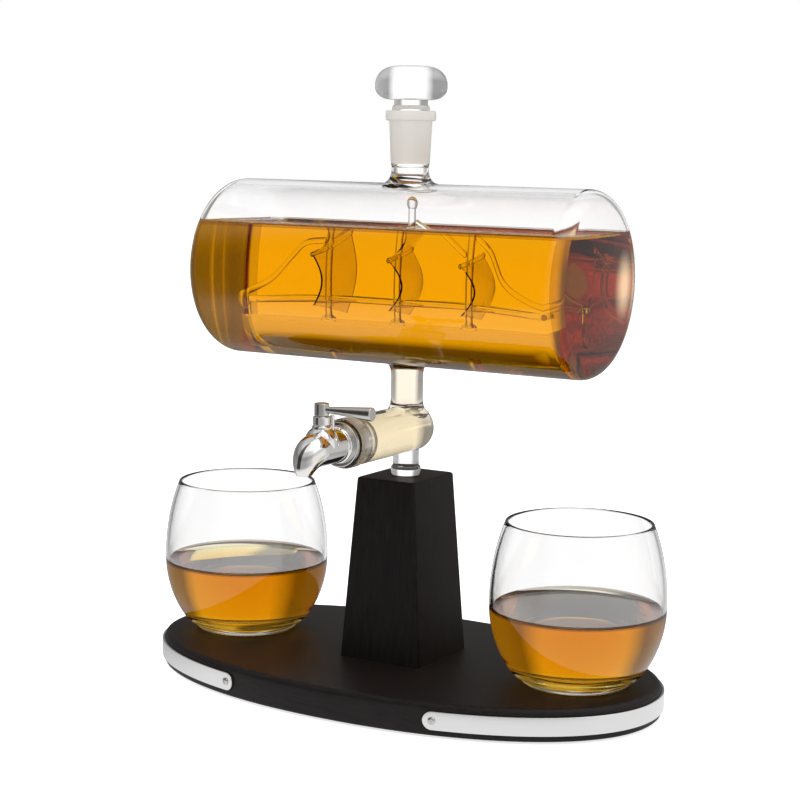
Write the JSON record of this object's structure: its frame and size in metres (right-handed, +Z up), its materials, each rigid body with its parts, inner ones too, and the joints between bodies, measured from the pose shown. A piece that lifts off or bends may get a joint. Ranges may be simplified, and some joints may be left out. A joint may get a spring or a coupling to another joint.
{
  "type": "whiskey dispenser",
  "caption": "Glass cylinder decanter with a glass ship inside, on a dark wooden pedestal and oval board, with a stopper, a lever tap and tumblers.",
  "frame": {"origin": "centre of the underside of the rubber sheet that the board stands on", "axes": "+Z up, +X along the board and the glass cylinder, the tap points to -Y"},
  "size_m": [0.2744, 0.1703, 0.3048],
  "materials": {
    "dark_wood": "satin lacquer over dark stain",
    "rubber_sheet": "matt",
    "black_rubber": "matt",
    "silicone": "satin",
    "brushed_steel": "brushed",
    "polished_steel": "polished",
    "screw_steel": "plain",
    "clear_glass": "clear"
  },
  "bodies": {
    "stand": {"base_pad": "rubber_sheet", "base_board": "dark_wood", "pedestal": "dark_wood", "band_left": "brushed_steel", "band_right": "brushed_steel", "pedestal_screw_front": "screw_steel", "pedestal_screw_rear": "screw_steel", "band_screw_left_front": "screw_steel", "band_screw_left_rear": "screw_steel", "band_screw_right_front": "screw_steel", "band_screw_right_rear": "screw_steel"},
    "swivel": {"socket_sleeve": "silicone"},
    "decanter": {"decanter_glass": "clear_glass", "ship_hull": "clear_glass", "ship_fore_mast": "clear_glass", "ship_main_mast": "clear_glass", "ship_mizzen_mast": "clear_glass", "ship_bow_stay": "clear_glass", "ship_main_stay": "clear_glass", "ship_stern_stay": "clear_glass", "tap_bung": "silicone", "tap_washer": "black_rubber", "tap_flange": "polished_steel", "tap_body": "polished_steel", "tap_bonnet": "polished_steel", "tap_stop_pin": "polished_steel"},
    "stopper": {"stopper": "clear_glass"},
    "valve": {"valve_plug": "polished_steel", "valve_seal_lower": "black_rubber", "valve_seal_upper": "black_rubber", "valve_cap": "polished_steel", "tap_lever": "polished_steel"},
    "tumbler_left": {"tumbler_left": "clear_glass"},
    "tumbler_right": {"tumbler_right": "clear_glass"}
  },
  "joints": [
    {"name": "decanter_swivel", "type": "hinge", "parent": "stand", "child": "swivel", "pos_m": [0, 0, 0.1062], "axis": [0, 0, 1], "continuous": true},
    {"name": "decanter_lift", "type": "slide", "parent": "swivel", "child": "decanter", "axis": [0, 0, 1], "range_m": [0, 0.03]},
    {"name": "stopper_lift", "type": "slide", "parent": "decanter", "child": "stopper", "axis": [0, 0, 1], "range_m": [0, 0.04]},
    {"name": "tap_lever_turn", "type": "hinge", "parent": "decanter", "child": "valve", "pos_m": [0, -0.076, 0.1291], "axis": [0, 0, 1], "range_deg": [-90, 0]},
    {"name": "tumbler_left_lift", "type": "slide", "parent": "stand", "child": "tumbler_left", "axis": [0, 0, 1], "range_m": [0, 0.02]},
    {"name": "tumbler_right_lift", "type": "slide", "parent": "stand", "child": "tumbler_right", "axis": [0, 0, 1], "range_m": [0, 0.02]}
  ]
}
